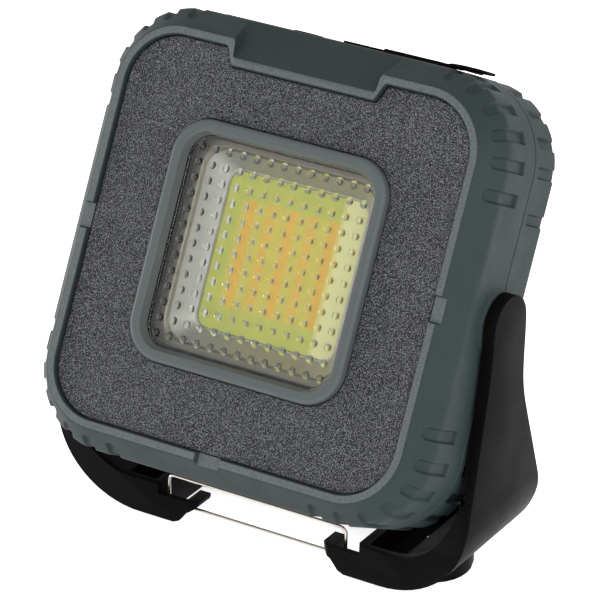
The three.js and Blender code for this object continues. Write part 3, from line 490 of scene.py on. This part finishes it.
QUARTER_END = ARC + CORNER
front_distances = merged(
    spread(-CORNER, -CORNER + 14.5, 0.6), spread(-CORNER + 14.5, -13, 3),
    spread(-13, 64, 1.1), grip_columns(LOW_SLOTS, SLOT_HALF, 0.4), [58.05, 58.45],
    spread(64, 69, 1.2), spread(69, 76, 0.5), spread(76, QUARTER_END - 6, 3),
    spread(QUARTER_END - 6, QUARTER_END, 0.5),
)
rear_distances = merged(
    spread(-CORNER, -CORNER + 14.5, 0.6), spread(-CORNER + 14.5, -18, 3),
    spread(-18, 53, 1.3), grip_columns(REAR_NOTCHES, NOTCH_HALF, 0.35), spread(53, QUARTER_END, 4),
)


def outline_place(distance):
    """Point and outward direction on the head's widest outline, in the first quarter."""
    place = Station(distance, 1, 1)
    return (*place.at(HEAD_HALF), *place.normal)


slot_spots = {1: [outline_place(d) for d in FRONT_SLOTS], -1: [outline_place(d) for d in LOW_SLOTS]}
notch_spots = [outline_place(d) for d in REAR_NOTCHES]


def sideways(spot, x, z):
    """How far a point lies from the middle line of a slot or notch."""
    place_x, place_z, normal_x, normal_z = spot
    return (x - place_x) * -normal_z + (z - place_z) * normal_x


def slot_depth(x, z, run, spots):
    """How far the skin sinks into a slot, at a run along the profile from the front crease."""
    if run < -SLOT_REACH - SLOT_HALF - 1 or run > SLOT_RUN + 1:
        return 0.0
    across = min(abs(sideways(spot, x, z)) for spot in spots)
    if across > SLOT_HALF + 1:
        return 0.0
    if run < -SLOT_REACH:
        outside = math.hypot(across, run + SLOT_REACH) - SLOT_HALF
    else:
        corner = 0.6
        over_side, over_end = across - SLOT_HALF + corner, run - SLOT_RUN + corner
        outside = math.hypot(max(over_side, 0), max(over_end, 0)) + min(max(over_side, over_end), 0) - corner
    return SLOT_DEPTH * smoothstep((0.25 - outside) / 0.65)


def panel_edge(place, grow):
    """Outline of the front panel's recess, with its step down at the top."""
    x, z = place.at(PANEL_HALF + grow)
    if place.sides[1] > 0 and place.along[0] < 1:
        z = STEP_HEIGHT + grow + (PANEL_HALF - STEP_HEIGHT) * smoothstep((x + grow - STEP_START) / STEP_RUN)
    return x, z


def edge_row(places, grow, y):
    """Row of points along the panel recess's outline at one depth."""
    row = []
    for p in places:
        x, z = panel_edge(p, grow)
        row.append(p.point(x, y + gate_rise(p, x, z, y), z))
    return row


CHAMFER_RUN = Vector((HEAD_HALF - RIM_HALF, CREASE_FRONT - RIM_FRONT - 0.5))
CHAMFER_LENGTH = CHAMFER_RUN.length
CHAMFER_DIRECTION = CHAMFER_RUN.normalized()
ROUND = 1.3  # the crease is rounded over this run on each side


def front_profile(run):
    """Half width, depth and outward direction of the front shell, by the run from its crease."""
    crease = Vector((HEAD_HALF, CREASE_FRONT))
    slope_out = Vector((CHAMFER_DIRECTION.y, -CHAMFER_DIRECTION.x))
    side_out = Vector((1, 0))
    if run <= -ROUND:
        return crease + CHAMFER_DIRECTION * run, slope_out
    if run >= ROUND:
        return crease + Vector((0, 1)) * run, side_out
    part = (run + ROUND) / (2 * ROUND)
    start, end = crease - CHAMFER_DIRECTION * ROUND, crease + Vector((0, ROUND))
    spot = start * (1 - part) ** 2 + crease * 2 * part * (1 - part) + end * part ** 2
    return spot, slope_out.lerp(side_out, part).normalized()


def pivot_rise(y, z):
    """How far the raised disc round each pivot stands out of the side."""
    away = math.hypot(y - PIVOT[0], z - PIVOT[1])
    return PIVOT_PROUD * smoothstep((PIVOT_DISC + 0.2 - away) / 0.5)


def facet_height(y):
    """Height of the flatter facet in the middle of the head's top."""
    slope = (HEAD_HALF - FACET_START) / (CREASE_FRONT - RIM_FRONT)
    return FACET_START + slope * (y - RIM_FRONT)


def gate_rise(place, x, z, y):
    """How far back a point in front of the panel's face moves, inside the gaps in the middle of three sides."""
    if place.along[1] < 1:
        away = abs(z)
    elif place.sides[1] < 0 and place.along[0] < 1:
        away = abs(x)
    else:
        return 0.0
    floor_y = PANEL_FRONT + 0.1
    return max(0.0, floor_y - y) * smoothstep((GATE_HALF + 0.25 - away) / 0.5)


def shaped_front(place, half, y, run=None, out=None):
    """A point of the front shell's skin, with the slots, gates, top facet and control seat worked in."""
    side_x, side_z = place.sides
    x, z = place.at(half)
    if run is not None:
        depth = slot_depth(x, z, run, slot_spots[side_z])
        half -= depth * out.x
        y -= depth * out.y
        x, z = place.at(half)
        if place.along[1] < 1:
            x += pivot_rise(y, z * side_z)
    y += gate_rise(place, x, z, y)
    if side_z > 0 and place.along[0] < 1:
        width = FACET_HALF + (z - FACET_START) * FACET_SPREAD
        if z > facet_height(y):
            z -= (z - facet_height(y)) * smoothstep((width + 0.4 - x) / 0.8)
        if CONTROL_FRONT < y < CONTROL_REAR and x < CONTROL_HALF:
            z = min(z, CONTROL_FLOOR)
    return place.point(x, y, z)


def front_housing():
    places = stations(front_distances)
    rows = []
    window_half, window_corner = 43.8, 31
    rows.append([p.ring_point(window_half, window_corner, 3.6) for p in places])
    rows.append([p.ring_point(window_half, window_corner, 0.9) for p in places])
    rows.append([p.ring_point(STEP_CLEAR, CORNER, 0.9) for p in places])
    rows += [
        edge_row(places, 0.45, 0.9), edge_row(places, 0.45, -2.5),
        edge_row(places, 0.6, -2.95), edge_row(places, 0.95, RIM_FRONT),
    ]
    for half, y in ((76.8, RIM_FRONT), (77.5, RIM_FRONT + 0.07), (78.0, RIM_FRONT + 0.28)):
        rows.append([shaped_front(p, half, y) for p in places])
    side_end = SEAM - 0.55 - CREASE_FRONT
    runs = merged(
        spread(-CHAMFER_LENGTH, -SLOT_REACH - SLOT_HALF - 0.6, 0.9),
        spread(-SLOT_REACH - SLOT_HALF - 0.6, -SLOT_REACH, 0.4), spread(-SLOT_REACH, -ROUND, 0.8),
        spread(-ROUND, ROUND, 0.52), spread(ROUND, SLOT_RUN - 1, 0.8), spread(SLOT_RUN - 1, SLOT_RUN + 0.5, 0.3),
        spread(SLOT_RUN + 0.5, side_end, 0.7),
        [CONTROL_FRONT - CREASE_FRONT + step for step in (-0.1, 0.1)],
        [CONTROL_REAR - CREASE_FRONT + step for step in (-0.1, 0.1)],
    )
    for run in runs:
        spot, out = front_profile(run)
        rows.append([shaped_front(p, spot.x, spot.y, run, out) for p in places])
    for half, y in [(half, SEAM - gap) for half, gap in SEAM_EDGE] + [(83, 8.5), (79.2, 3.6)]:
        rows.append([p.ring_point(half, CORNER, y) for p in places])
    made = finished(lofted(rows), "front_shell", "housing_grey", "head", ["front_housing"])
    cut_out(made, head_box((-44, 44), (12, 25), (74, 86)))
    return made


def rear_skin(place, half, y):
    """A point of the rear shell's skin, with the notches and the pivot discs worked in."""
    x, z = place.at(half)
    if y > NOTCH_START - 1 and half > HEAD_HALF - NOTCH_DEPTH:
        across = min(abs(sideways(spot, x, z)) for spot in notch_spots)
        inside = smoothstep((NOTCH_HALF + 0.2 - across) / 0.5) * smoothstep((y - NOTCH_START + 0.3) / 0.6)
        half -= (half - HEAD_HALF + NOTCH_DEPTH) * inside
        x, z = place.at(half)
    if place.along[1] < 1:
        x += pivot_rise(y, z * place.sides[1]) if half > HEAD_HALF - 0.1 else 0
    return place.point(x, y, z)


def rear_housing():
    places = stations(rear_distances)
    field_half, field_corner, field_depth = 54, 44, 0.8
    rows = [[p.ring_point(10, 8, HEAD_BACK - field_depth) for p in places]]
    rows.append([p.ring_point(field_half - 0.3, field_corner, HEAD_BACK - field_depth) for p in places])
    rows.append([p.ring_point(field_half, field_corner, HEAD_BACK - field_depth + 0.3) for p in places])
    rows.append([p.ring_point(field_half, field_corner, HEAD_BACK - 0.3) for p in places])
    rows.append([p.ring_point(field_half + 0.3, field_corner, HEAD_BACK) for p in places])
    slope = (HEAD_HALF - REAR_HALF) / (HEAD_BACK - CREASE_REAR)
    for half, y in ((REAR_HALF - 1, HEAD_BACK), (REAR_HALF - 0.2, HEAD_BACK - 0.15)):
        rows.append([p.ring_point(half, CORNER, y) for p in places])
    for y in spread(CREASE_REAR + 1, HEAD_BACK - 0.7, 0.9)[::-1]:
        rows.append([rear_skin(p, HEAD_HALF - slope * (y - CREASE_REAR), y) for p in places])
    for half, y in ((HEAD_HALF - 0.55, CREASE_REAR + 0.3), (HEAD_HALF - 0.22, CREASE_REAR - 0.4)):
        rows.append([rear_skin(p, half, y) for p in places])
    for y in spread(SEAM + 0.55, CREASE_REAR - 1.2, 0.6)[::-1]:
        rows.append([rear_skin(p, HEAD_HALF, y) for p in places])
    for half, y in [(half, SEAM + gap) for half, gap in SEAM_EDGE] + [(83, 45.8), (74.8, 54)]:
        rows.append([p.ring_point(half, CORNER, y) for p in places])
    rows.append([p.ring_point(10, 8, 54) for p in places])
    made = finished(lofted(rows, ends="capped"), "rear_shell", "housing_grey", "head", ["rear_housing"])
    cut_out(made, *[head_bar(x * 62, z * 62, 4.3, (45, 59)) for x in (1, -1) for z in (1, -1)])
    return made


front_housing()
rear_housing()

# ---------------------------------------------------------------- panel, bezel, lens and reflector

ring_distances = merged(spread(-CORNER, 0, 9), spread(0, ARC, 2.2), spread(ARC, QUARTER_END, 9))
panel_distances = merged(
    spread(-CORNER, 0, 9), spread(0, ARC, 2.2), spread(ARC, ARC + 12, 1.5), spread(ARC + 12, ARC + 25, 0.5),
    spread(ARC + 25, QUARTER_END, 3),
)


def ringed(name, profile, look, nodes):
    """Closed square ring with round corners: the profile's points are (half width, corner centre, depth)."""
    places = stations(ring_distances)
    rows = [[p.ring_point(half, corner, y) for p in places] for half, corner, y in profile]
    return finished(lofted(rows), name, look, "head", nodes)


def front_panel():
    places = stations(panel_distances)
    rows = [[p.ring_point(STEP_CLEAR, CORNER, 0.6) for p in places]]
    rows += [edge_row(places, 0, 0.6), edge_row(places, 0, PANEL_FRONT + 0.4)]
    for grow, y in ((-0.12, PANEL_FRONT + 0.12), (-0.45, PANEL_FRONT), (-0.9, PANEL_FRONT)):
        rows.append(edge_row(places, grow, y))
    rows.append([p.ring_point(STEP_CLEAR, CORNER, PANEL_FRONT) for p in places])
    for half in (49, 47.6, 47.2):
        rows.append([p.ring_point(half, 31.5, PANEL_FRONT) for p in places])
    for y in (PANEL_FRONT + 0.4, 0.6):
        rows.append([p.ring_point(46.8, 31.5, y) for p in places])
    return finished(lofted(rows), "panel_skin", "panel_grey", "head", ["front_panel"])


front_panel()
ringed("bezel_ring", [
    (46.5, 31.5, 0.6), (46.5, 31.5, -3.3), (46.42, 31.5, -3.6), (46.2, 31.4, -3.9), (45.6, 31.3, -4.4),
    (45.2, 31.3, -4.57), (44.8, 31.2, -4.6), (42.7, 31, -4.6), (42.4, 31, -4.55), (42.15, 31, -4.4), (42, 31, -4.1),
    (41.9, 31, -3.8), (41.2, 31, -1.1), (41.05, 31, -0.85), (41, 31, -0.6), (41, 31, -0.3), (43.7, 31, -0.3),
    (43.7, 31, 0.6),
], "bezel_grey", ["lens_bezel"])
ringed("seal_ring", [
    (43.4, 31, 2.3), (40.2, 31, 2.3), (39.95, 31, 2.5), (39.9, 31, 2.8), (39.9, 31, 6.4), (40, 31, 6.7),
    (40.3, 31, 6.8), (43.4, 31, 6.8),
], "black_rubber", ["lens_seal"])
ringed("reflector_funnel", [
    (43, 31, 7.1), (39.2, 29.2, 7.1), (38.2, 28.8, 7.12), (37.9, 28.6, 7.25), (37.6, 28.4, 7.5), (36.6, 28, 9),
    (31.4, 25.4, 16.3), (31, 25.3, 16.7), (30.6, 25, 16.75), (30.3, 25, 17.1), (30.2, 25, 17.5), (30.2, 25, 18),
    (31.6, 25, 18), (39, 28.6, 8.4), (43, 31, 8.4),
], "reflector_silver", ["reflector"])

DOMES = 13
DOME_PITCH = 6.0
DOME_RADIUS, DOME_CURVE = 1.6, 1.66
DOME_SIDES = 24
DOME_PARTS = (1.12, 1.0, 0.93, 0.8, 0.62, 0.4, 0.18)
LENS_CORNER = 31
# Half width and depth of the plate's edge: a bead round the face, then the side and the back.
LENS_EDGE = [
    (40.1, 0), (40.25, -0.15), (40.45, -0.22), (40.65, -0.15), (40.8, 0), (43.1, 0), (43.4, 0.3), (43.4, 1.7),
    (43.1, 2),
]


def dome_rise(part):
    """Height of a dome at this part of its radius."""
    foot = math.sqrt(DOME_CURVE ** 2 - DOME_RADIUS ** 2)
    return math.sqrt(DOME_CURVE ** 2 - (part * DOME_RADIUS) ** 2) - foot


def lens():
    """Clear plate whose face carries a square grid of small domes."""
    shape = bmesh.new()
    half = DOME_PITCH / 2
    for row in range(DOMES):
        for column in range(DOMES):
            x0 = (column - (DOMES - 1) / 2) * DOME_PITCH
            z0 = (row - (DOMES - 1) / 2) * DOME_PITCH
            rings = []
            edge = []
            for i in range(DOME_SIDES):
                a = 2 * math.pi * i / DOME_SIDES
                reach = half / max(abs(math.cos(a)), abs(math.sin(a)))
                edge.append(shape.verts.new(head_point(x0 + reach * math.cos(a), 0, z0 + reach * math.sin(a))))
            rings.append(edge)
            for part in DOME_PARTS:
                rise = dome_rise(part) if part < 1 else 0
                ring = []
                for i in range(DOME_SIDES):
                    a = 2 * math.pi * i / DOME_SIDES
                    ring.append(shape.verts.new(head_point(
                        x0 + part * DOME_RADIUS * math.cos(a), -rise, z0 + part * DOME_RADIUS * math.sin(a),
                    )))
                rings.append(ring)
            top = shape.verts.new(head_point(x0, -dome_rise(0), z0))
            for near, far in zip(rings, rings[1:]):
                for i in range(DOME_SIDES):
                    j = (i + 1) % DOME_SIDES
                    shape.faces.new((near[i], near[j], far[j], far[i]))
            for i in range(DOME_SIDES):
                shape.faces.new((rings[-1][i], rings[-1][(i + 1) % DOME_SIDES], top))
    bmesh.ops.remove_doubles(shape, verts=shape.verts, dist=0.00001)
    rim = [v for v in shape.verts if v.is_boundary]
    rim.sort(key=lambda v: math.atan2((v.co - ORIGIN).dot(UP), (v.co - ORIGIN).dot(RIGHT)))
    reach = DOMES * DOME_PITCH / 2
    loops = [rim]
    for lens_half, y in LENS_EDGE:
        ring = []
        for v in rim:
            x, z = (v.co - ORIGIN).dot(RIGHT) / MM, (v.co - ORIGIN).dot(UP) / MM
            grow = lens_half / reach
            px, pz = x * grow, z * grow
            over_x, over_z = abs(px) - LENS_CORNER, abs(pz) - LENS_CORNER
            if over_x > 0 and over_z > 0:
                scale = (lens_half - LENS_CORNER) / math.hypot(over_x, over_z)
                px = math.copysign(LENS_CORNER + over_x * scale, px)
                pz = math.copysign(LENS_CORNER + over_z * scale, pz)
            ring.append(shape.verts.new(head_point(px, y, pz)))
        loops.append(ring)
    for near, far in zip(loops, loops[1:]):
        for i in range(len(near)):
            j = (i + 1) % len(near)
            shape.faces.new((near[i], near[j], far[j], far[i]))
    shape.faces.new(loops[-1])
    bmesh.ops.recalc_face_normals(shape, faces=shape.faces)
    return finished(shape, "domed_lens", "lens_clear", "head", ["lens"], sharp=30)


lens()

# ---------------------------------------------------------------- controls, stand and wire

softened("control_panel", 0.0003, "black_plastic", "head")
softened("port_cover", 0.0005, "black_rubber", "port_cover")
softened("power_button", 0.0003, "black_rubber", "power_button")
softened("stand_bracket", 0.0015, "black_plastic", "stand")
for side in ("right", "left"):
    softened("foot_pad_" + side, 0.0004, "black_rubber", "stand")


def wire_bail():
    """Round wire bent into a closed rectangular loop."""
    low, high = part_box("hanging_bail")
    radius = (high.y - low.y) / 2
    y = (low.y + high.y) / 2
    bend = 0.0026
    centre_x, centre_z = (low.x + high.x) / 2, (low.z + high.z) / 2
    half_x, half_z = (high.x - low.x) / 2 - radius, (high.z - low.z) / 2 - radius
    path = []
    for corner, (sx, sz) in enumerate(((1, 1), (-1, 1), (-1, -1), (1, -1))):
        for step in range(9):
            a = (corner + step / 8) * math.pi / 2
            path.append(Vector((
                centre_x + sx * (half_x - bend) + bend * math.cos(a), y,
                centre_z + sz * (half_z - bend) + bend * math.sin(a),
            )))
    rows = []
    for i, spot in enumerate(path):
        run = (path[(i + 1) % len(path)] - path[i - 1]).normalized()
        across = run.cross(Vector((0, 1, 0))).normalized()
        turn = [2 * math.pi * k / 16 for k in range(16)]
        rows.append([spot + radius * (across * math.cos(a) + Vector((0, 1, 0)) * math.sin(a)) for a in turn])
    return finished(lofted(rows), "wire_loop", "steel", "hanging_bail", ["hanging_bail"], sharp=60)


wire_bail()

# ---------------------------------------------------------------- camera, floor and lights

EYE_BACK = Vector((0.4851, -0.7585, 0.4351)).normalized()
EYE_RIGHT = Vector((0.8424, 0.5388, 0.0)).normalized()
EYE_UP = EYE_BACK.cross(EYE_RIGHT)
EYE_DISTANCE = 1.50285
FOCAL_LENGTH = 243.6
AIM_RIGHT, AIM_DOWN = 0.009635, 0.009569

camera = bpy.data.objects.new("camera", bpy.data.cameras.new("camera"))
bpy.context.scene.collection.objects.link(camera)
camera.data.lens = FOCAL_LENGTH
camera.data.sensor_width = 36
camera.location = ORIGIN + EYE_BACK * EYE_DISTANCE
sight = -EYE_BACK + EYE_RIGHT * AIM_RIGHT - EYE_UP * AIM_DOWN
camera.rotation_mode = "QUATERNION"
camera.rotation_quaternion = sight.to_track_quat("-Z", "Y")
camera.data.clip_start, camera.data.clip_end = 0.05, 20
bpy.context.scene.camera = camera


def floor():
    mesh = bpy.data.meshes.new("floor")
    shape = bmesh.new()
    bmesh.ops.create_circle(shape, cap_ends=True, radius=6, segments=96)
    shape.to_mesh(mesh)
    shape.free()
    made = bpy.data.objects.new("floor", mesh)
    bpy.context.scene.collection.objects.link(made)
    t = Tree("floor paint")
    tone = t.mix(t.span(t.noise(0.6, 2), 0.3, 0.7, 0, 1), (0.86,) * 3, (0.9,) * 3)
    t.principled(
        Base_Color=tone, Roughness=t.span(t.noise(0.2, 2), 0.3, 0.7, 0.6, 0.7),
        Emission_Color=(1, 1, 1, 1), Emission_Strength=0.8,
    )
    mesh.materials.append(t.material)


floor()


MIDDLE = Vector((0, 0, 0.1))


def softbox(name, place, size, watts):
    """Rectangular lamp at a place given from the light's middle, and turned towards it."""
    lamp = bpy.data.lights.new(name, "AREA")
    lamp.shape = "RECTANGLE"
    lamp.size, lamp.size_y = size
    lamp.energy = watts
    made = bpy.data.objects.new(name, lamp)
    bpy.context.scene.collection.objects.link(made)
    made.location = MIDDLE + Vector(place)
    made.rotation_mode = "QUATERNION"
    made.rotation_quaternion = (-Vector(place)).to_track_quat("-Z", "Y")


softbox("left strip", (-1.15, -0.3, 0.06), (0.22, 0.3), 4)
softbox("right strip", (1.25, 0.25, 0.2), (0.36, 0.5), 4.5)
softbox("front", (0.75, -1.0, 0.8), (0.8, 0.8), 7)

world = bpy.data.worlds.new("studio")
bpy.context.scene.world = world
world.use_nodes = True
background = world.node_tree.nodes.get("Background") or world.node_tree.nodes.new("ShaderNodeBackground")
background.inputs["Color"].default_value = (1, 1, 1, 1)
background.inputs["Strength"].default_value = 1.0
bpy.context.scene.view_settings.view_transform = "Standard"
